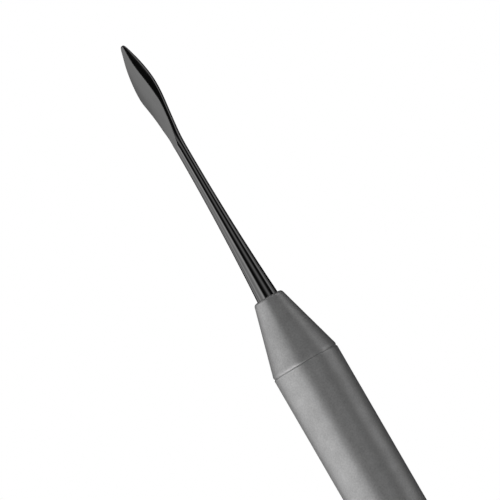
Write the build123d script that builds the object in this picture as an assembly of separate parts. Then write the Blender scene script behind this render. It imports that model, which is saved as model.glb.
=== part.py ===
"""Dental elevator, modelled as it comes apart on a bench.

A polished working end (blade, shank and tang in one piece) is cross-pinned into a
conical nose. The nose and a domed end cap plug a hollow handle tube, each with a seal
ring under the tube.

Frame: millimetres, +Z up. The instrument lies along X on its handle, with the blade
pointing to +X and the blade's working face looking up. The handle touches z = 0.
"""
import math
import os

import numpy
from build123d import *

# ---- driving dimensions (millimetres) -------------------------------------------------
OVERALL_LENGTH = 160.0
HANDLE_RADIUS = 6.0
TUBE_WALL = 1.0
EXPOSED_WORKING_LENGTH = 48.4      # blade tip to the front of the nose
CONE_LENGTH = 12.55
CONE_FRONT_RADIUS = 2.61
CONE_FRONT_ROUNDING = 0.6
CONE_RIM_LENGTH = 0.25             # bevel between the cone's crest and the tube
CONE_RIM_DROP = 0.2                # with the tube's own rounding it makes the joint line
CONE_RIM_ROUNDING = 0.6
TUBE_END_ROUNDING = 0.2
CAP_HEAD_LENGTH = 4.5
CAP_CROWN_RISE = 1.6               # how far the cap's end bulges
CAP_JOINT_ROUNDING = 0.25

# Shank and tang
NECK_STATION = 19.7                # distance from the tip, where the blade becomes round
NECK_RADIUS = 0.99
SHANK_ROOT_RADIUS = 1.92
SHANK_SEAT_DEPTH = 1.5             # how far the shank, still flaring, goes into the nose
SHANK_SEAT_GAP = 0.13
TANG_RADIUS = 1.5
TANG_LENGTH = 23.0
TANG_CHAMFER = 0.3

# Nose and cap spigots inside the tube
SPIGOT_CLEARANCE = 0.03
NOSE_SPIGOT_LENGTH = 17.0
CAP_SPIGOT_LENGTH = 11.0
SPIGOT_CHAMFER = 0.5
TANG_BORE_CLEARANCE = 0.02
TANG_BORE_SPARE = 0.5
CAP_BORE_RADIUS = 3.2
CAP_BORE_DEPTH = 9.0

# Seal rings, in their fitted shape
SEAL_SECTION_RADIUS = 0.4
SEAL_GROOVE_WIDTH = 1.2
SEAL_SETBACK = 3.5                 # groove centre behind the spigot's shoulder

# Cross pin through the nose spigot and the tang
PIN_RADIUS = 0.75
PIN_HOLE_CLEARANCE = 0.01
PIN_RECESS = 0.15
PIN_SETBACK = 10.5                 # pin axis behind the nose's shoulder

# Blade, by distance from the tip. Each list has only the stations its curve needs.
GRIND_END_STATION = 20.2           # where the working face has run out above the neck
# Heights and depths are from the axis, but the blank's top is from its widest level.
HALF_WIDTH = [(0, 0), (0.08, 0.3), (0.33, 0.45), (1.66, 0.80), (3.3, 1.25), (5.3, 1.78),
              (7.3, 2.24), (9.3, 2.48), (10.0, 2.48), (10.8, 2.41), (13.3, 1.95), (16.3, 1.36),
              (17.4, 1.13), (18.6, 1.01), (NECK_STATION, NECK_RADIUS)]
WIDEST_DROP = [(0, 0), (0.33, 0.1), (1.66, 0.24), (3.3, 0.39), (5.3, 0.48), (7.3, 0.44),
               (9.3, 0.25), (10.8, 0.17), (13.3, 0.12), (16.3, 0.06), (17.8, 0.02),
               (NECK_STATION, 0)]
BLANK_TOP = [(0, 0), (0.33, 1.0), (1.66, 2.0), (3.3, 3.1), (5.3, 4.1), (7.3, 4.5), (9.3, 4.2),
             (10.8, 3.6), (13.3, 2.8), (16.3, 1.9), (17.4, 1.45), (18.6, 1.12),
             (NECK_STATION, NECK_RADIUS)]
BACK_DEPTH = [(0, 0), (0.33, 0.40), (1.66, 0.84), (3.3, 1.22), (5.3, 1.49), (7.3, 1.58),
              (9.3, 1.51), (10.8, 1.40), (13.3, 1.24), (16.3, 1.07), (18.0, 1.03),
              (NECK_STATION, NECK_RADIUS)]
FACE_HEIGHT = [(0, 0), (0.33, 0.24), (1.66, 0.49), (3.0, 0.70), (5.5, 0.825), (8.3, 0.72),
               (9.96, 0.60), (10.8, 0.50), (12.8, 0.39), (14.6, 0.42), (16.6, 0.53),
               (18.3, 0.69), (GRIND_END_STATION, 1.12)]
FACE_HOLLOW_RADIUS = 29.0          # the working face is hollow ground across
BLADE_STATIONS = [0.03, 0.33, 1.0, 1.8, 3.0, 4.6, 6.4, 8.2, 9.3, 10.2, 11.6, 13.4, 14.8, 16.1,
                  17.2, 18.4]
SHANK_STATIONS = [NECK_STATION, 21.0, 22.6, 24.8, 28.0, 32.0, 37.0, 43.0,
                  EXPOSED_WORKING_LENGTH + SHANK_SEAT_DEPTH]
BLANK_STATIONS = BLADE_STATIONS + SHANK_STATIONS
GRIND_STATIONS = [0.0] + BLADE_STATIONS[1:] + [GRIND_END_STATION]
ROUNDNESS = 4 / 3 * (math.sqrt(2) - 1)    # Bezier handle of a quarter ellipse, per radius
GRIND_HALF_WIDTH = 3.2
GRIND_TOP = 5.0

# ---- derived positions along X --------------------------------------------------------
TIP_X = OVERALL_LENGTH / 2
REAR_X = -OVERALL_LENGTH / 2
NOSE_X = TIP_X - EXPOSED_WORKING_LENGTH
SHOULDER_X = NOSE_X - CONE_LENGTH
SHANK_SEAT_X = NOSE_X - SHANK_SEAT_DEPTH
TANG_END_X = SHANK_SEAT_X - TANG_LENGTH
NOSE_SPIGOT_END_X = SHOULDER_X - NOSE_SPIGOT_LENGTH
CAP_SHOULDER_X = REAR_X + CAP_HEAD_LENGTH
CAP_SPIGOT_END_X = CAP_SHOULDER_X + CAP_SPIGOT_LENGTH
FRONT_SEAL_X = SHOULDER_X - SEAL_SETBACK
REAR_SEAL_X = CAP_SHOULDER_X + SEAL_SETBACK
PIN_X = SHOULDER_X - PIN_SETBACK

TUBE_BORE_RADIUS = HANDLE_RADIUS - TUBE_WALL
SPIGOT_RADIUS = TUBE_BORE_RADIUS - SPIGOT_CLEARANCE
SEAL_RING_RADIUS = TUBE_BORE_RADIUS - SEAL_SECTION_RADIUS
SEAL_GROOVE_RADIUS = SEAL_RING_RADIUS - SEAL_SECTION_RADIUS
TANG_BORE_RADIUS = TANG_RADIUS + TANG_BORE_CLEARANCE
SHANK_SEAT_RADIUS = SHANK_ROOT_RADIUS + SHANK_SEAT_GAP


# ---- shared shapes --------------------------------------------------------------------
def smooth_curve(stations):
    """Natural cubic spline over the square root of distance, so the tip comes out round."""
    knots = numpy.sqrt([station for station, _ in stations])
    values = numpy.array([value for _, value in stations], dtype=float)
    gaps = numpy.diff(knots)
    slopes = numpy.diff(values) / gaps
    count = len(knots)
    matrix = numpy.eye(count)
    target = numpy.zeros(count)
    for i in range(1, count - 1):
        matrix[i, i - 1:i + 2] = gaps[i - 1], 2 * (gaps[i - 1] + gaps[i]), gaps[i]
        target[i] = 6 * (slopes[i] - slopes[i - 1])
    bends = numpy.linalg.solve(matrix, target)

    def value_at(station):
        position = math.sqrt(station)
        i = min(max(int(numpy.searchsorted(knots, position)) - 1, 0), count - 2)
        gap = gaps[i]
        after = (position - knots[i]) / gap
        before = 1 - after
        bend = bends[i] * (before**3 - before) + bends[i + 1] * (after**3 - after)
        return float(before * values[i] + after * values[i + 1] + bend * gap**2 / 6)

    return value_at


blade_half_width = smooth_curve(HALF_WIDTH)
widest_drop = smooth_curve(WIDEST_DROP)
blank_top = smooth_curve(BLANK_TOP)
back_depth = smooth_curve(BACK_DEPTH)
face_height = smooth_curve(FACE_HEIGHT)


def turned(face):
    """Revolves a half outline, drawn with x along the axis and y outward, about X."""
    return revolve(Plane.XZ * face, Axis.X)


def rounded(face, corner, radius):
    """Rounds the outline's corner nearest to the given point."""
    vertex = face.vertices().sort_by_distance((*corner, 0))[0]
    return fillet(vertex, radius)


def outline(*points):
    return make_face(Polyline(*points, close=True))


def save(part, node):
    """Lifts a piece from the axis onto the ground frame and writes it."""
    placed = Pos(0, 0, HANDLE_RADIUS) * part
    placed.label = node
    export_step(placed, os.path.join("parts", node + ".step"))


# ---- the pieces -----------------------------------------------------------------------
def flare_rise(station):
    """How much the round shank has grown at a station behind the neck."""
    run = EXPOSED_WORKING_LENGTH - NECK_STATION
    rise = SHANK_ROOT_RADIUS - NECK_RADIUS
    radius = (run**2 + rise**2) / (2 * rise)
    return radius - math.sqrt(radius**2 - (station - NECK_STATION)**2)


def half_section(station, half_width, height, drop=0.0):
    """A half ellipse over (or under) the section's widest level, as its two quarters."""
    x = TIP_X - station
    crown = (x, 0, height - drop)
    quarters = []
    for side in (half_width, -half_width):
        quarters.append(Bezier((x, side, -drop), (x, side, ROUNDNESS * height - drop),
                               (x, ROUNDNESS * side, height - drop), crown))
    return quarters


def blank_section(station):
    """A section of the forging: a keeled leaf at the blade, a circle from the neck back."""
    if station < NECK_STATION:
        half_width = blade_half_width(station)
        drop = widest_drop(station)
        top = half_section(station, half_width, blank_top(station), drop)
        back = half_section(station, half_width, drop - back_depth(station), drop)
    else:
        radius = NECK_RADIUS + flare_rise(station)
        top = half_section(station, radius, radius)
        back = half_section(station, radius, -radius)
    return Face(Wire([quarter.edge() for quarter in top + back]))


def grind_section(station):
    """A section of what grinding takes off above the hollow working face."""
    x = TIP_X - station
    floor = face_height(station)
    sag = GRIND_HALF_WIDTH**2 / (2 * FACE_HOLLOW_RADIUS)
    left = (x, -GRIND_HALF_WIDTH, floor + sag)
    right = (x, GRIND_HALF_WIDTH, floor + sag)
    hollow = ThreePointArc(left, (x, 0, floor), right)
    roof = Polyline(right, (x, GRIND_HALF_WIDTH, GRIND_TOP), (x, -GRIND_HALF_WIDTH, GRIND_TOP),
                    left)
    return Face(Wire([hollow.edge(), *roof.edges()]))


def working_end():
    """Blade, flared round shank and tang, forged and ground from one bar."""
    blank = loft([blank_section(station) for station in BLANK_STATIONS])
    ground_off = loft([grind_section(station) for station in GRIND_STATIONS])
    tang = turned(outline(
        (SHANK_SEAT_X, 0), (SHANK_SEAT_X, TANG_RADIUS), (TANG_END_X + TANG_CHAMFER, TANG_RADIUS),
        (TANG_END_X, TANG_RADIUS - TANG_CHAMFER), (TANG_END_X, 0)))
    return blank - ground_off + tang - pin_hole()


def pin_hole():
    return Pos(PIN_X, 0, 0) * Cylinder(PIN_RADIUS + PIN_HOLE_CLEARANCE, 2 * HANDLE_RADIUS)


def seal_groove(x):
    depth_margin = SPIGOT_RADIUS + 1
    ring = Cylinder(depth_margin, SEAL_GROOVE_WIDTH)
    ring -= Cylinder(SEAL_GROOVE_RADIUS, SEAL_GROOVE_WIDTH)
    return Pos(x, 0, 0) * Rot(0, 90, 0) * ring


def nose_cone():
    """Conical nose with a spigot for the tube and a blind bore for the tang."""
    bore_end_x = TANG_END_X - TANG_BORE_SPARE
    front_corner = (NOSE_X, CONE_FRONT_RADIUS)
    crest = (SHOULDER_X + CONE_RIM_LENGTH, HANDLE_RADIUS)
    face = outline(
        (NOSE_X, SHANK_SEAT_RADIUS), front_corner, crest,
        (SHOULDER_X, HANDLE_RADIUS - CONE_RIM_DROP), (SHOULDER_X, SPIGOT_RADIUS),
        (NOSE_SPIGOT_END_X + SPIGOT_CHAMFER, SPIGOT_RADIUS),
        (NOSE_SPIGOT_END_X, SPIGOT_RADIUS - SPIGOT_CHAMFER), (NOSE_SPIGOT_END_X, 0),
        (bore_end_x, 0), (bore_end_x, TANG_BORE_RADIUS), (SHANK_SEAT_X, TANG_BORE_RADIUS),
        (SHANK_SEAT_X, SHANK_SEAT_RADIUS))
    face = rounded(face, front_corner, CONE_FRONT_ROUNDING)
    face = rounded(face, crest, CONE_RIM_ROUNDING)
    return turned(face) - seal_groove(FRONT_SEAL_X) - pin_hole()


def tang_pin():
    length = 2 * (SPIGOT_RADIUS - PIN_RECESS)
    return Pos(PIN_X, 0, 0) * Cylinder(PIN_RADIUS, length)


def seal_ring(x):
    ring = Torus(SEAL_RING_RADIUS, SEAL_SECTION_RADIUS)
    return Pos(x, 0, 0) * Rot(0, 90, 0) * ring


def handle_tube():
    front_corner = (SHOULDER_X, HANDLE_RADIUS)
    rear_corner = (CAP_SHOULDER_X, HANDLE_RADIUS)
    face = outline(front_corner, rear_corner, (CAP_SHOULDER_X, TUBE_BORE_RADIUS),
                   (SHOULDER_X, TUBE_BORE_RADIUS))
    face = rounded(face, front_corner, TUBE_END_ROUNDING)
    face = rounded(face, rear_corner, TUBE_END_ROUNDING)
    return turned(face)


def end_cap():
    """Domed plug: a short full-width head, a rounded rim, a shallow crown and a spigot."""
    rim_x = REAR_X + CAP_CROWN_RISE
    crown_radius = (HANDLE_RADIUS**2 + CAP_CROWN_RISE**2) / (2 * CAP_CROWN_RISE)
    middle_y = HANDLE_RADIUS / 2
    middle_x = REAR_X + crown_radius - math.sqrt(crown_radius**2 - middle_y**2)
    rim = (rim_x, HANDLE_RADIUS)
    joint = (CAP_SHOULDER_X, HANDLE_RADIUS)
    bore_x = CAP_SPIGOT_END_X - CAP_BORE_DEPTH
    crown = ThreePointArc((REAR_X, 0), (middle_x, middle_y), rim)
    rest = Polyline(rim, joint, (CAP_SHOULDER_X, SPIGOT_RADIUS),
                    (CAP_SPIGOT_END_X - SPIGOT_CHAMFER, SPIGOT_RADIUS),
                    (CAP_SPIGOT_END_X, SPIGOT_RADIUS - SPIGOT_CHAMFER),
                    (CAP_SPIGOT_END_X, CAP_BORE_RADIUS), (bore_x, CAP_BORE_RADIUS), (bore_x, 0),
                    (REAR_X, 0))
    face = make_face([crown.edge(), *rest.edges()])
    face = rounded(face, rim, CAP_CROWN_RISE / 2)
    face = rounded(face, joint, CAP_JOINT_ROUNDING)
    return turned(face) - seal_groove(REAR_SEAL_X)


os.makedirs("parts", exist_ok=True)
save(working_end(), "working_end")
save(nose_cone(), "nose_cone")
save(tang_pin(), "tang_pin")
save(seal_ring(FRONT_SEAL_X), "front_seal")
save(handle_tube(), "handle_tube")
save(seal_ring(REAR_SEAL_X), "rear_seal")
save(end_cap(), "end_cap")
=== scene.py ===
"""Looks of the dental elevator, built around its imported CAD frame.

Metres, +Z up. The instrument lies along X with its blade at +X. Stations are distances
from the blade's tip along the axis; radii are measured from the axis.
"""

import math

import bmesh
import bpy
import numpy
from mathutils import Matrix, Vector


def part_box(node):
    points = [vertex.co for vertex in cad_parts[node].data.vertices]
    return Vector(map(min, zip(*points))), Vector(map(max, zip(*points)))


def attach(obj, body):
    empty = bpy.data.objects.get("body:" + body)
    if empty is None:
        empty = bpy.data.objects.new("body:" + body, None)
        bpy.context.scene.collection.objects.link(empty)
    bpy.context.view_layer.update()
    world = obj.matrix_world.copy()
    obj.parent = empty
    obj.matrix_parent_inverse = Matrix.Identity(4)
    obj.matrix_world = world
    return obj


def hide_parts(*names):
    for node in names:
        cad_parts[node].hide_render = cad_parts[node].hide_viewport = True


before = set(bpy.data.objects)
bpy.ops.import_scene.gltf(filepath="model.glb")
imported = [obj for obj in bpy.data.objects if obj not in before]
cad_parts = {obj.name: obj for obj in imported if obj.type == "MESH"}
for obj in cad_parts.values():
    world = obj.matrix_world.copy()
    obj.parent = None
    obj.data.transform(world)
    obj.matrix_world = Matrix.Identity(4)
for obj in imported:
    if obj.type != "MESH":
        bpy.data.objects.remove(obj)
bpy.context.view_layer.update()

MM = 0.001

# ---- places read from the frame --------------------------------------------------------
TIP_FLAT = 0.03 * MM               # the CAD's tip is cut off flat at this station
TIP_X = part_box("working_end")[1].x + TIP_FLAT
TANG_END_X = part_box("working_end")[0].x
TUBE_LOW, TUBE_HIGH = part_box("handle_tube")
NOSE_LOW, NOSE_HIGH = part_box("nose_cone")
CAP_LOW, CAP_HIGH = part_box("end_cap")
PIN_LOW, PIN_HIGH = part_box("tang_pin")
SEAL_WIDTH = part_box("front_seal")[1].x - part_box("front_seal")[0].x
HANDLE_RADIUS = (TUBE_HIGH.z - TUBE_LOW.z) / 2
AXIS_Z = (TUBE_HIGH.z + TUBE_LOW.z) / 2
NOSE_X = NOSE_HIGH.x
SHOULDER_X = TUBE_HIGH.x
CAP_JOINT_X = TUBE_LOW.x
PIN_X = (PIN_LOW.x + PIN_HIGH.x) / 2
FRONT_SEAL_X = (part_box("front_seal")[0].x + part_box("front_seal")[1].x) / 2
REAR_SEAL_X = (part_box("rear_seal")[0].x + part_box("rear_seal")[1].x) / 2

# ---- the design's own sizes ------------------------------------------------------------
TUBE_BORE_RADIUS = HANDLE_RADIUS - 1.0 * MM
SPIGOT_RADIUS = TUBE_BORE_RADIUS - 0.03 * MM
SEAL_GROOVE_RADIUS = TUBE_BORE_RADIUS - SEAL_WIDTH
SEAL_GROOVE_HALF_WIDTH = 0.6 * MM
SPIGOT_CHAMFER = 0.5 * MM
CONE_FRONT_RADIUS = 2.61 * MM
CONE_FRONT_ROUNDING = 0.6 * MM
CONE_RIM_LENGTH = 0.25 * MM         # bevel between the cone's crest and the joint
CONE_RIM_DROP = 0.2 * MM
CONE_RIM_ROUNDING = 0.6 * MM
TUBE_END_ROUNDING = 0.2 * MM
CAP_JOINT_ROUNDING = 0.25 * MM
CAP_CROWN_RISE = 1.6 * MM
CAP_BORE_RADIUS = 3.2 * MM
CAP_BORE_DEPTH = 9.0 * MM
NECK_STATION = 19.7 * MM
NECK_RADIUS = 0.99 * MM
SHANK_ROOT_RADIUS = 1.92 * MM
SHANK_SEAT_DEPTH = 1.5 * MM
SHANK_SEAT_RADIUS = SHANK_ROOT_RADIUS + 0.13 * MM
TANG_RADIUS = 1.5 * MM
TANG_CHAMFER = 0.3 * MM
TANG_BORE_RADIUS = TANG_RADIUS + 0.02 * MM
TANG_BORE_SPARE = 0.5 * MM
PIN_HOLE_RADIUS = 0.76 * MM
FACE_HOLLOW_RADIUS = 29.0 * MM
FACE_RUN_OUT = 0.4 * MM            # past the neck, where the face no longer touches the shank
BLADE_EDGE_ROUNDING = 0.1 * MM

# Blade curves by distance from the tip, in millimetres. Most began as measured edges that a
# separate program turned into widths, heights and depths, and all were then set by hand.
HALF_WIDTH = [(0, 0), (0.08, 0.3), (0.33, 0.45), (1.66, 0.80), (3.3, 1.25), (5.3, 1.78),
              (7.3, 2.24), (9.3, 2.48), (10.0, 2.48), (10.8, 2.41), (13.3, 1.95), (16.3, 1.36),
              (17.4, 1.13), (18.6, 1.01), (19.7, 0.99)]
WIDEST_DROP = [(0, 0), (0.33, 0.1), (1.66, 0.24), (3.3, 0.39), (5.3, 0.48), (7.3, 0.44),
               (9.3, 0.25), (10.8, 0.17), (13.3, 0.12), (16.3, 0.06), (17.8, 0.02), (19.7, 0)]
BLANK_TOP = [(0, 0), (0.33, 1.0), (1.66, 2.0), (3.3, 3.1), (5.3, 4.1), (7.3, 4.5), (9.3, 4.2),
             (10.8, 3.6), (13.3, 2.8), (16.3, 1.9), (17.4, 1.45), (18.6, 1.12), (19.7, 0.99)]
BACK_DEPTH = [(0, 0), (0.33, 0.40), (1.66, 0.84), (3.3, 1.22), (5.3, 1.49), (7.3, 1.58),
              (9.3, 1.51), (10.8, 1.40), (13.3, 1.24), (16.3, 1.07), (18.0, 1.03), (19.7, 0.99)]
FACE_HEIGHT = [(0, 0), (0.33, 0.24), (1.66, 0.49), (3.0, 0.70), (5.5, 0.825), (8.3, 0.72),
               (9.96, 0.60), (10.8, 0.50), (12.8, 0.39), (14.6, 0.42), (16.6, 0.53),
               (18.3, 0.69), (20.2, 1.12)]

# ---- mesh density ----------------------------------------------------------------------
LATHE_SEGMENTS = 256
DRILL_SEGMENTS = 48
ARC_STEPS = 10
CROWN_STEPS = 40
BLADE_ROWS = 240
BLADE_ROW_CROWDING = 1.7           # above 1, rows crowd towards the tip
SHANK_ROWS = 90
FACE_COLUMNS = 12                  # columns on each half of the section, top to bottom
EDGE_COLUMNS = 5
SIDE_COLUMNS = 8
BACK_COLUMNS = 30
EDGE_SEARCH_STEPS = 40
ROUND_TOP_SHARE = 0.3              # of a round section's half width, meshed as its top
EDGE_SHARE = 0.1                   # largest share of the half width that a rounding may take
GUARD = 0.04 * MM                  # width of strips beside roundings; they keep shading crisp
WEAR_REACH = 0.3 * MM              # how far a rounding's wear fades into the faces beside it
LONG_RUN = 3 * WEAR_REACH          # straight runs longer than this get the strips
SAME_POINT = 1e-8                  # metres, below which two points are one
NO_LENGTH = 1e-9                   # metres, below which an edge is dropped
SHARP_ANGLE = 28.0                 # degrees between faces, above which an edge is shaded sharp

# ---- camera ----------------------------------------------------------------------------
CAMERA_ELEVATION = 33.0            # degrees above the horizon
CAMERA_TOWARDS_REAR = 3.0          # degrees, so the tip is the far end
CAMERA_AXIS_LEAN = 120.1           # degrees from the picture's right to the blade's direction
CAMERA_LENS = 400.0
CAMERA_SENSOR = 36.0
FIELD_WIDTH = 83.0 * MM            # what the picture's width covers at the object
AIM_STATION = 40.13 * MM
AIM_DROP = 1.405 * MM

# ---- studio ----------------------------------------------------------------------------
STAGE_RADIUS = 3.0                 # metres
FLOOR_SEGMENTS = 96
SURROUND_SEGMENTS = 64
SURROUND_RINGS = 32
# What the metal mirrors, by elevation round the instrument's axis: 0 is the horizon on the
# camera's side, 90 straight up, 180 the horizon behind, -90 straight down. This isn't plain
# soft light, and it isn't a pattern to copy: the levels were read off a least-squares fit,
# made by a separate program, to brightness across the photographed handle, shank and face.
# They were then thinned out, rounded and changed. The satin metal's roughness and metallic
# value and the coated one's roughness and colour were chosen with the same fit.
STUDIO_STOPS = [
    (-180, 0.01), (-86, 0.01), (-77, 0.17), (-64, 0.19), (-55, 0.45), (-50, 0.57), (-44, 0.50),
    (-36, 0.011), (-13, 0.011), (-4.5, 0.16), (0.5, 0.27), (6, 0.34), (10.5, 0.32), (18, 0.16),
    (27, 0.04), (34, 0.011), (53, 0.011), (57, 0.18), (60.5, 0.53), (65.5, 0.93), (70.5, 0.99),
    (80.5, 0.66), (92, 0.54), (104, 0.53), (116, 0.92), (130, 0.43), (140, 0.43), (145, 0.58),
    (157, 0.60), (162, 0.3), (167, 0.01), (180, 0.01)]
STUDIO_LEAN = 2.4                  # how fast the upper boxes fade out past the blade's end

# ---- finishes --------------------------------------------------------------------------
NOISE_LOW, NOISE_HIGH = 0.3, 0.7   # a noise texture's usual range
WEAR_PATCHES = 0.5 * MM
MIX_FACTOR, MIX_FIRST, MIX_SECOND, MIX_RESULT = 0, 6, 7, 2   # a Mix node's colour sockets


# ---- shared shapes ---------------------------------------------------------------------
def smooth_curve(stations):
    """Natural cubic spline over the square root of distance, so the tip comes out round."""
    knots = numpy.sqrt([station * MM for station, _ in stations])
    values = numpy.array([value * MM for _, value in stations], dtype=float)
    gaps = numpy.diff(knots)
    slopes = numpy.diff(values) / gaps
    count = len(knots)
    matrix = numpy.eye(count)
    target = numpy.zeros(count)
    for i in range(1, count - 1):
        matrix[i, i - 1:i + 2] = gaps[i - 1], 2 * (gaps[i - 1] + gaps[i]), gaps[i]
        target[i] = 6 * (slopes[i] - slopes[i - 1])
    bends = numpy.linalg.solve(matrix, target)

    def value_at(station):
        position = math.sqrt(station)
        i = min(max(int(numpy.searchsorted(knots, position)) - 1, 0), count - 2)
        gap = gaps[i]
        after = (position - knots[i]) / gap
        before = 1 - after
        bend = bends[i] * (before**3 - before) + bends[i + 1] * (after**3 - after)
        return float(before * values[i] + after * values[i + 1] + bend * gap**2 / 6)

    return value_at


blade_half_width = smooth_curve(HALF_WIDTH)
widest_drop = smooth_curve(WIDEST_DROP)
blank_top = smooth_curve(BLANK_TOP)
back_depth = smooth_curve(BACK_DEPTH)
face_height = smooth_curve(FACE_HEIGHT)


def arc(centre, radius, start, end, steps):
    """Points of a circular arc, angles in degrees, ends included."""
    points = []
    for step in range(steps + 1):
        angle = math.radians(start + (end - start) * step / steps)
        points.append((centre[0] + radius * math.cos(angle), centre[1] + radius * math.sin(angle)))
    return points


def corner_arc(before, corner, after, radius):
    """Rounds an outline's corner: a worn arc tangent to both sides, as (x, radius, wear)."""
    corner = Vector(corner[:2])
    into = (Vector(before[:2]) - corner).normalized()
    out = (Vector(after[:2]) - corner).normalized()
    half_angle = into.angle(out) / 2
    centre = corner + (into + out).normalized() * (radius / math.sin(half_angle))
    start = corner + into * (radius / math.tan(half_angle)) - centre
    end = corner + out * (radius / math.tan(half_angle)) - centre
    sweep = start.angle_signed(end)
    return [(*(centre + Matrix.Rotation(-sweep * step / ARC_STEPS, 2) @ start), 1)
            for step in range(ARC_STEPS + 1)]


def mesh_from_rings(name, rings, closed_ends=True):
    """A skin over equal rings of (x, y, z, wear) points, with a fan over each end if closed."""
    bm = bmesh.new()
    worn = bm.verts.layers.float.new("wear")

    def add_vertex(point):
        vertex = bm.verts.new(point[:3])
        vertex[worn] = point[3]
        return vertex

    rows = [[add_vertex(point) for point in ring] for ring in rings]
    for row, following in zip(rows, rows[1:]):
        for i in range(len(row)):
            j = (i + 1) % len(row)
            bm.faces.new((row[i], row[j], following[j], following[i]))
    for row in (rows[0], rows[-1]) if closed_ends else []:
        centre = sum((vertex.co for vertex in row), Vector()) / len(row)
        hub = add_vertex((*centre, row[0][worn]))
        for i in range(len(row)):
            bm.faces.new((row[i], row[(i + 1) % len(row)], hub))
    bmesh.ops.remove_doubles(bm, verts=bm.verts, dist=SAME_POINT)
    bmesh.ops.dissolve_degenerate(bm, dist=NO_LENGTH, edges=bm.edges)
    bmesh.ops.recalc_face_normals(bm, faces=bm.faces)
    mesh = bpy.data.meshes.new(name)
    bm.to_mesh(mesh)
    bm.free()
    piece = bpy.data.objects.new(name, mesh)
    bpy.context.scene.collection.objects.link(piece)
    return piece


def with_guards(profile):
    """Adds narrow strips at both ends of each long straight run, where wear fades out."""
    guarded = []
    for start, end in zip(profile, profile[1:]):
        guarded.append(start)
        a, b = Vector(start[:2]), Vector(end[:2])
        length = (b - a).length
        if length > LONG_RUN:
            guarded += [(*a.lerp(b, GUARD / length), start[2]),
                        (*a.lerp(b, WEAR_REACH / length), 0),
                        (*b.lerp(a, WEAR_REACH / length), 0),
                        (*b.lerp(a, GUARD / length), end[2])]
    return guarded + profile[-1:]


def full_turn(segments):
    return [2 * math.pi * i / segments for i in range(segments)]


def lathed_piece(name, outline):
    """Turns an outline about the axis; it starts and ends on the axis, or else closes."""
    profile = [(*point, 0) if len(point) == 2 else point for point in outline]
    if profile[0][1] > 0:
        profile.append(profile[0])
    rings = [[(x, radius * math.cos(turn), AXIS_Z + radius * math.sin(turn), wear)
              for turn in full_turn(LATHE_SEGMENTS)]
             for x, radius, wear in with_guards(profile)]
    return mesh_from_rings(name, rings, closed_ends=False)


def smooth_shade(piece):
    piece.data.polygons.foreach_set("use_smooth", [True] * len(piece.data.polygons))
    piece.data.set_sharp_from_angle(angle=math.radians(SHARP_ANGLE))


def drill(piece, x, radius):
    """Cuts a round hole straight down through a piece."""
    rings = [[(x + radius * math.cos(turn), radius * math.sin(turn), z, 0)
              for turn in full_turn(DRILL_SEGMENTS)]
             for z in (AXIS_Z - HANDLE_RADIUS, AXIS_Z + HANDLE_RADIUS)]
    cutter = mesh_from_rings("drill", rings)
    modifier = piece.modifiers.new("hole", "BOOLEAN")
    modifier.operation = "DIFFERENCE"
    modifier.solver = "EXACT"
    modifier.object = cutter
    evaluated = piece.evaluated_get(bpy.context.evaluated_depsgraph_get())
    cut = bpy.data.meshes.new_from_object(evaluated)
    piece.modifiers.clear()
    piece.data = cut
    bpy.data.objects.remove(cutter)


# ---- materials -------------------------------------------------------------------------
def feed(tree, socket, value):
    """Gives a socket another node's output, or else a constant."""
    if isinstance(value, bpy.types.NodeSocket):
        tree.links.new(value, socket)
    else:
        socket.default_value = value


def math_node(tree, operation, first, second=0.0):
    node = tree.nodes.new("ShaderNodeMath")
    node.operation = operation
    feed(tree, node.inputs[0], first)
    feed(tree, node.inputs[1], second)
    return node.outputs["Value"]


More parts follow.
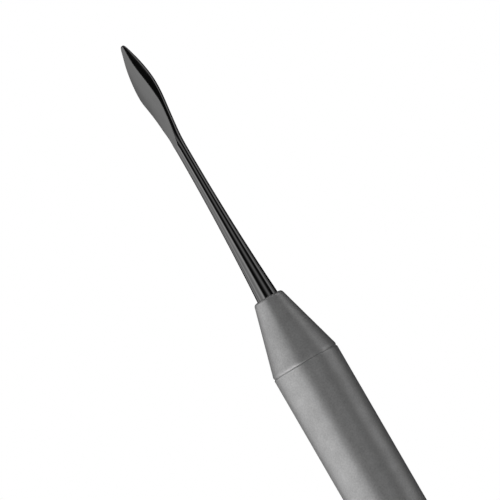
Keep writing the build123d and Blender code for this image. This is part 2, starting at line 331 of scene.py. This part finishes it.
class Finish:
    """A material being wired: its node tree, shader and object coordinates in metres."""

    def __init__(self, name, metallic):
        self.material = bpy.data.materials.new(name)
        self.material.use_nodes = True
        self.tree = self.material.node_tree
        self.shader = self.tree.nodes["Principled BSDF"]
        self.shader.inputs["Metallic"].default_value = metallic
        self.coordinates = self.tree.nodes.new("ShaderNodeTexCoord").outputs["Object"]

    def node(self, kind, settings=(), **sockets):
        """Adds a node; each socket takes a number, a colour or another node's output."""
        node = self.tree.nodes.new(kind)
        for name, value in dict(settings).items():
            setattr(node, name, value)
        for name, value in sockets.items():
            feed(self.tree, node.inputs[name.replace("_", " ")], value)
        return node

    def noise(self, size, detail=2.0, stretch=1.0):
        """Noise with features of a size in metres, drawn out along the instrument."""
        place = self.node("ShaderNodeMapping", Vector=self.coordinates,
                          Scale=(1 / stretch, 1, 1)).outputs["Vector"]
        return self.node("ShaderNodeTexNoise", Vector=place, Scale=1 / size,
                         Detail=detail).outputs["Fac"]

    def spread(self, value, low, high):
        """Maps a noise's usual range onto another."""
        return self.node("ShaderNodeMapRange", Value=value, From_Min=NOISE_LOW,
                         From_Max=NOISE_HIGH, To_Min=low, To_Max=high).outputs["Result"]

    def combine(self, operation, first, second):
        return math_node(self.tree, operation, first, second)

    def worn(self, amount):
        """How worn a place is: the piece's own wear at its edges, patchy."""
        edges = self.node("ShaderNodeAttribute", {"attribute_name": "wear"}).outputs["Fac"]
        patches = self.spread(self.noise(WEAR_PATCHES, 3.0), 0.0, amount)
        return self.combine("MULTIPLY", edges, patches)

    def mix(self, factor, first, second):
        """Blends two colours, each given as RGBA or as another node's output."""
        node = self.node("ShaderNodeMix", {"data_type": "RGBA"})
        feed(self.tree, node.inputs[MIX_FACTOR], factor)
        feed(self.tree, node.inputs[MIX_FIRST], first)
        feed(self.tree, node.inputs[MIX_SECOND], second)
        return node.outputs[MIX_RESULT]

    def colour(self, dark, light, variation, bare, wear):
        """Base colour between two colours by a variation, laid bare where worn."""
        surface = self.mix(variation, (*dark, 1), (*light, 1))
        self.tree.links.new(self.mix(wear, surface, (*bare, 1)), self.shader.inputs["Base Color"])

    def roughness(self, value):
        self.tree.links.new(value, self.shader.inputs["Roughness"])

    def bump(self, height, depth):
        """Raises the surface by up to a depth in metres."""
        node = self.node("ShaderNodeBump", Height=height, Distance=depth, Strength=1.0)
        self.tree.links.new(node.outputs["Normal"], self.shader.inputs["Normal"])


def satin_steel():
    """Bead-blasted steel: a fine even grain, slightly cloudy, burnished at its edges."""
    finish = Finish("satin_steel", metallic=0.87)
    grain = finish.noise(0.3 * MM, 2.0)
    cloud = finish.noise(2.5 * MM, 3.0)
    wear = finish.worn(0.5)
    variation = finish.combine("ADD", finish.spread(grain, 0.0, 0.6),
                               finish.spread(cloud, 0.0, 0.4))
    finish.colour((0.60,) * 3, (0.81,) * 3, variation, (0.85,) * 3, wear)
    matt = finish.spread(cloud, 0.53, 0.47)
    finish.roughness(finish.combine("SUBTRACT", matt, finish.combine("MULTIPLY", wear, 0.2)))
    finish.bump(grain, 0.012 * MM)
    return finish.material


def coated_steel():
    """Dark coated steel, polished along its length, with the bright steel worn bare."""
    finish = Finish("coated_steel", metallic=1.0)
    lines = finish.noise(0.1 * MM, 2.0, stretch=40)
    cloud = finish.noise(1.5 * MM, 3.0, stretch=2)
    wear = finish.worn(0.2)
    variation = finish.combine("ADD", finish.spread(lines, 0.0, 0.5),
                               finish.spread(cloud, 0.0, 0.5))
    finish.colour((0.225,) * 3, (0.275,) * 3, variation, (0.5,) * 3, wear)
    polish = finish.combine("ADD", finish.spread(lines, 0.045, 0.095),
                            finish.spread(cloud, 0.0, 0.02))
    finish.roughness(finish.combine("ADD", polish, finish.combine("MULTIPLY", wear, 0.3)))
    finish.bump(lines, 0.0004 * MM)
    return finish.material


def seal_rubber():
    """Black rubber ring, dusty in places, with a faint moulded grain."""
    finish = Finish("seal_rubber", metallic=0.0)
    grain = finish.noise(0.05 * MM, 2.0)
    dust = finish.noise(0.6 * MM, 3.0)
    finish.colour((0.018,) * 3, (0.045,) * 3, dust, (0.06,) * 3, finish.worn(0.3))
    finish.roughness(finish.spread(dust, 0.5, 0.68))
    finish.bump(grain, 0.002 * MM)
    return finish.material


def pin_steel():
    """Ground pin: fine scratches along it and a slightly cloudy sheen."""
    finish = Finish("pin_steel", metallic=1.0)
    scratches = finish.noise(0.03 * MM, 2.0)
    cloud = finish.noise(0.8 * MM, 2.0)
    finish.colour((0.46, 0.46, 0.48), (0.58, 0.58, 0.6), cloud, (0.7,) * 3, finish.worn(0.4))
    finish.roughness(finish.spread(scratches, 0.2, 0.34))
    finish.bump(scratches, 0.0005 * MM)
    return finish.material


# ---- the pieces ------------------------------------------------------------------------
def flare_rise(station):
    """How much the round shank has grown at a station behind the neck."""
    run = TIP_X - NOSE_X - NECK_STATION
    rise = SHANK_ROOT_RADIUS - NECK_RADIUS
    radius = (run**2 + rise**2) / (2 * rise)
    return radius - math.sqrt(radius**2 - (station - NECK_STATION)**2)


def blank_sizes(station):
    """Half width, height above and depth below the widest level, and that level's drop."""
    if station < NECK_STATION:
        drop = widest_drop(station)
        return blade_half_width(station), blank_top(station), back_depth(station) - drop, drop
    radius = NECK_RADIUS + flare_rise(station)
    return radius, radius, radius, 0.0


def half_section(half_width, top, depth, drop=0.0, floor=None):
    """Points (y, z, wear) of a section's +Y half, from its top's middle to its bottom.

    The section is two half ellipses that meet at its widest level, which lies a drop below
    the axis. floor is the height of the ground face at the middle, where there is one.
    """
    def side_height(y):
        return top * math.sqrt(max(1 - (y / half_width) ** 2, 0)) - drop

    def top_height(y):
        if floor is None:
            return side_height(y)
        return min(side_height(y), floor + y * y / (2 * FACE_HOLLOW_RADIUS))

    low, high = 0.0, half_width
    for _ in range(EDGE_SEARCH_STEPS):
        middle = (low + high) / 2
        if floor is not None and top_height(middle) < side_height(middle):
            low = middle
        else:
            high = middle
    span = max(low, ROUND_TOP_SHARE * half_width)
    rounding = min(BLADE_EDGE_ROUNDING, EDGE_SHARE * span)
    flat_end = span - rounding
    guard = min(GUARD, EDGE_SHARE * span)
    points = [(flat_end - guard) * math.sin(math.pi / 2 * i / FACE_COLUMNS)
              for i in range(FACE_COLUMNS + 1)] + [flat_end]
    points = [(y, top_height(y), 0) for y in points]
    edge = Vector((span, top_height(span)))
    side_z = edge.y - rounding
    side_angle = math.asin(min(max((side_z + drop) / top, 0), 1))
    start = Vector(points[-1][:2])
    end = Vector((half_width * math.cos(side_angle), top * math.sin(side_angle) - drop))
    edge_wear = 0 if floor is None else 1
    for i in range(1, EDGE_COLUMNS + 1):
        part = i / EDGE_COLUMNS
        points.append((*start.lerp(edge, part).lerp(edge.lerp(end, part), part), edge_wear))
    for i in range(1, SIDE_COLUMNS + 1):
        angle = side_angle * (1 - i / SIDE_COLUMNS)
        points.append((half_width * math.cos(angle), top * math.sin(angle) - drop, 0))
    for i in range(1, BACK_COLUMNS + 1):
        angle = math.pi / 2 * i / BACK_COLUMNS
        points.append((half_width * math.cos(angle), -depth * math.sin(angle) - drop, 0))
    return points


def whole_ring(x, half):
    """Mirrors a half section into a full ring at x."""
    near = [(x, -y, AXIS_Z + z, wear) for y, z, wear in half[-2:0:-1]]
    return [(x, y, AXIS_Z + z, wear) for y, z, wear in half] + near


def blade_ring(station):
    floor = face_height(station) if station < NECK_STATION + FACE_RUN_OUT else None
    return whole_ring(TIP_X - station, half_section(*blank_sizes(station), floor))


def round_ring(x, radius):
    return whole_ring(x, half_section(radius, radius, radius))


def make_working_end():
    """Blade, round flared shank and tang, as one skin."""
    blade_run = NECK_STATION - TIP_FLAT
    stations = [TIP_FLAT + blade_run * (i / BLADE_ROWS) ** BLADE_ROW_CROWDING
                for i in range(BLADE_ROWS)]
    seat_station = TIP_X - NOSE_X + SHANK_SEAT_DEPTH
    stations += [NECK_STATION + (seat_station - NECK_STATION) * i / SHANK_ROWS
                 for i in range(SHANK_ROWS + 1)]
    rings = [blade_ring(station) for station in stations]
    seat_x = TIP_X - seat_station
    rings += [round_ring(seat_x, TANG_RADIUS), round_ring(seat_x - GUARD, TANG_RADIUS),
              round_ring(TANG_END_X + TANG_CHAMFER, TANG_RADIUS),
              round_ring(TANG_END_X, TANG_RADIUS - TANG_CHAMFER)]
    piece = mesh_from_rings("elevator_working_end", rings)
    drill(piece, PIN_X, PIN_HOLE_RADIUS)
    smooth_shade(piece)
    return piece


def seal_groove(x, outward_radius):
    """Profile of a seal groove, from its front wall to its rear wall."""
    front, rear = x + SEAL_GROOVE_HALF_WIDTH, x - SEAL_GROOVE_HALF_WIDTH
    return [(front, outward_radius), (front, SEAL_GROOVE_RADIUS), (rear, SEAL_GROOVE_RADIUS),
            (rear, outward_radius)]


def make_nose():
    """Cone with a rounded front corner, its spigot, seal groove and stepped blind bore."""
    seat_x = NOSE_X - SHANK_SEAT_DEPTH
    bore_end_x = TANG_END_X - TANG_BORE_SPARE
    spigot_end_x = NOSE_LOW.x
    front, crest = (NOSE_X, CONE_FRONT_RADIUS), (SHOULDER_X + CONE_RIM_LENGTH, HANDLE_RADIUS)
    joint, shoulder_foot = (SHOULDER_X, HANDLE_RADIUS - CONE_RIM_DROP), (SHOULDER_X, SPIGOT_RADIUS)
    seat_mouth = (NOSE_X, SHANK_SEAT_RADIUS)
    outline = [(bore_end_x, 0), (bore_end_x, TANG_BORE_RADIUS), (seat_x, TANG_BORE_RADIUS),
               (seat_x, SHANK_SEAT_RADIUS), seat_mouth]
    outline += corner_arc(seat_mouth, front, crest, CONE_FRONT_ROUNDING)
    outline += corner_arc(front, crest, joint, CONE_RIM_ROUNDING)
    outline += [joint, shoulder_foot, *seal_groove(FRONT_SEAL_X, SPIGOT_RADIUS),
                (spigot_end_x + SPIGOT_CHAMFER, SPIGOT_RADIUS),
                (spigot_end_x, SPIGOT_RADIUS - SPIGOT_CHAMFER), (spigot_end_x, 0)]
    piece = lathed_piece("elevator_nose", outline)
    drill(piece, PIN_X, PIN_HOLE_RADIUS)
    smooth_shade(piece)
    return piece


def make_tube():
    front, rear = (SHOULDER_X, HANDLE_RADIUS), (CAP_JOINT_X, HANDLE_RADIUS)
    bore_front, bore_rear = (SHOULDER_X, TUBE_BORE_RADIUS), (CAP_JOINT_X, TUBE_BORE_RADIUS)
    profile = corner_arc(bore_front, front, rear, TUBE_END_ROUNDING)
    profile += corner_arc(front, rear, bore_rear, TUBE_END_ROUNDING)
    profile += [bore_rear, bore_front]
    piece = lathed_piece("elevator_tube", profile)
    smooth_shade(piece)
    return piece


def make_cap():
    """Domed plug: crown, rounded rim, joint rounding, spigot with seal groove, and bore."""
    rear_x, spigot_end_x = CAP_LOW.x, CAP_HIGH.x
    rim = (rear_x + CAP_CROWN_RISE, HANDLE_RADIUS)
    crown_radius = (HANDLE_RADIUS**2 + CAP_CROWN_RISE**2) / (2 * CAP_CROWN_RISE)
    half_angle = math.degrees(math.asin(HANDLE_RADIUS / crown_radius))
    crown = arc((rear_x + crown_radius, 0), crown_radius, 180, 180 - half_angle, CROWN_STEPS)
    crown[0] = (rear_x, 0)
    joint, joint_foot = (CAP_JOINT_X, HANDLE_RADIUS), (CAP_JOINT_X, SPIGOT_RADIUS)
    rim_rounding = CAP_CROWN_RISE / 2
    kept = [point for point in crown if (Vector(point) - Vector(rim)).length > rim_rounding]
    profile = kept + corner_arc(crown[-2], rim, joint, rim_rounding)
    profile += corner_arc(rim, joint, joint_foot, CAP_JOINT_ROUNDING)
    bore_x = spigot_end_x - CAP_BORE_DEPTH
    profile += [joint_foot, *reversed(seal_groove(REAR_SEAL_X, SPIGOT_RADIUS)),
                (spigot_end_x - SPIGOT_CHAMFER, SPIGOT_RADIUS),
                (spigot_end_x, SPIGOT_RADIUS - SPIGOT_CHAMFER), (spigot_end_x, CAP_BORE_RADIUS),
                (bore_x, CAP_BORE_RADIUS), (bore_x, 0)]
    piece = lathed_piece("elevator_cap", profile)
    smooth_shade(piece)
    return piece


def finish_piece(piece, node, material):
    piece.data.materials.clear()
    piece.data.materials.append(material)
    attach(piece, "root")
    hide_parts(node)


def dress_cad_node(node, material):
    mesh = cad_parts[node].data
    mesh.materials.clear()
    mesh.materials.append(material)


satin = satin_steel()
finish_piece(make_working_end(), "working_end", coated_steel())
finish_piece(make_nose(), "nose_cone", satin)
finish_piece(make_tube(), "handle_tube", satin)
finish_piece(make_cap(), "end_cap", satin)
rubber = seal_rubber()
dress_cad_node("front_seal", rubber)
dress_cad_node("rear_seal", rubber)
dress_cad_node("tang_pin", pin_steel())


# ---- stage -----------------------------------------------------------------------------
def white_surface(name):
    material = bpy.data.materials.new(name)
    material.use_nodes = True
    tree = material.node_tree
    tree.nodes.clear()
    emission = tree.nodes.new("ShaderNodeEmission")
    emission.inputs["Color"].default_value = (1, 1, 1, 1)
    output = tree.nodes.new("ShaderNodeOutputMaterial")
    tree.links.new(emission.outputs["Emission"], output.inputs["Surface"])
    return material


def camera_only(stage_object):
    stage_object.visible_glossy = False
    stage_object.visible_diffuse = False
    stage_object.visible_transmission = False
    stage_object.visible_shadow = False


def make_backdrop():
    """A seamless white floor and surround, far out of the metal's reflections."""
    white = white_surface("studio_white")
    bpy.ops.mesh.primitive_circle_add(vertices=FLOOR_SEGMENTS, radius=STAGE_RADIUS,
                                      fill_type="NGON")
    floor = bpy.context.object
    floor.name = "floor"
    bpy.ops.mesh.primitive_uv_sphere_add(segments=SURROUND_SEGMENTS, ring_count=SURROUND_RINGS,
                                         radius=STAGE_RADIUS)
    surround = bpy.context.object
    surround.name = "surround"
    for stage_object in (floor, surround):
        stage_object.data.materials.append(white)
        camera_only(stage_object)


def make_studio_light():
    """Soft boxes all along the instrument, given as brightness by angle round its axis."""
    world = bpy.data.worlds.new("studio")
    bpy.context.scene.world = world
    world.use_nodes = True
    tree = world.node_tree
    background = tree.nodes["Background"]

    split = tree.nodes.new("ShaderNodeSeparateXYZ")
    coordinates = tree.nodes.new("ShaderNodeTexCoord")
    tree.links.new(coordinates.outputs["Generated"], split.inputs["Vector"])
    along, across, up = split.outputs
    angle = math_node(tree, "ARCTAN2", up, math_node(tree, "MULTIPLY", across, -1.0))
    turn = tree.nodes.new("ShaderNodeMapRange")
    turn.inputs["From Min"].default_value = -math.pi
    turn.inputs["From Max"].default_value = math.pi
    tree.links.new(angle, turn.inputs["Value"])
    ramp = tree.nodes.new("ShaderNodeValToRGB")
    stops = ramp.color_ramp.elements
    while len(stops) < len(STUDIO_STOPS):
        stops.new(1.0)
    for stop, (degrees, brightness) in zip(stops, STUDIO_STOPS):
        stop.position = (degrees + 180) / 360
        stop.color = (brightness, brightness, brightness, 1)
    tree.links.new(turn.outputs["Result"], ramp.inputs["Fac"])
    tree.links.new(ramp.outputs["Color"], background.inputs["Color"])
    slant = math_node(tree, "MULTIPLY", along, math_node(tree, "MULTIPLY", along, along))
    height = math_node(tree, "MULTIPLY", math_node(tree, "MAXIMUM", up, 0.0), STUDIO_LEAN)
    fade = math_node(tree, "MULTIPLY", slant, height)
    tree.links.new(math_node(tree, "SUBTRACT", 1.0, fade), background.inputs["Strength"])


def make_camera():
    """Long lens from the front, above, with the blade leaning up and to the left."""
    elevation = math.radians(CAMERA_ELEVATION)
    rearward = math.radians(CAMERA_TOWARDS_REAR)
    lean = math.radians(CAMERA_AXIS_LEAN)
    back = Vector((-math.sin(rearward), -math.cos(elevation) * math.cos(rearward),
                   math.sin(elevation) * math.cos(rearward)))
    blade_way = (Vector((1, 0, 0)) - back * back.x).normalized()
    side_way = back.cross(blade_way)
    right = blade_way * math.cos(lean) - side_way * math.sin(lean)
    up = blade_way * math.sin(lean) + side_way * math.cos(lean)
    aim = Vector((TIP_X - AIM_STATION, 0, AXIS_Z)) - side_way * AIM_DROP
    distance = FIELD_WIDTH * CAMERA_LENS / CAMERA_SENSOR
    data = bpy.data.cameras.new("camera")
    data.lens = CAMERA_LENS
    data.sensor_width = CAMERA_SENSOR
    camera = bpy.data.objects.new("camera", data)
    bpy.context.scene.collection.objects.link(camera)
    rotation = Matrix((right, up, back)).transposed().to_4x4()
    camera.matrix_world = Matrix.Translation(aim + back * distance) @ rotation
    bpy.context.scene.camera = camera


make_backdrop()
make_studio_light()
make_camera()
bpy.context.scene.view_settings.view_transform = "Standard"
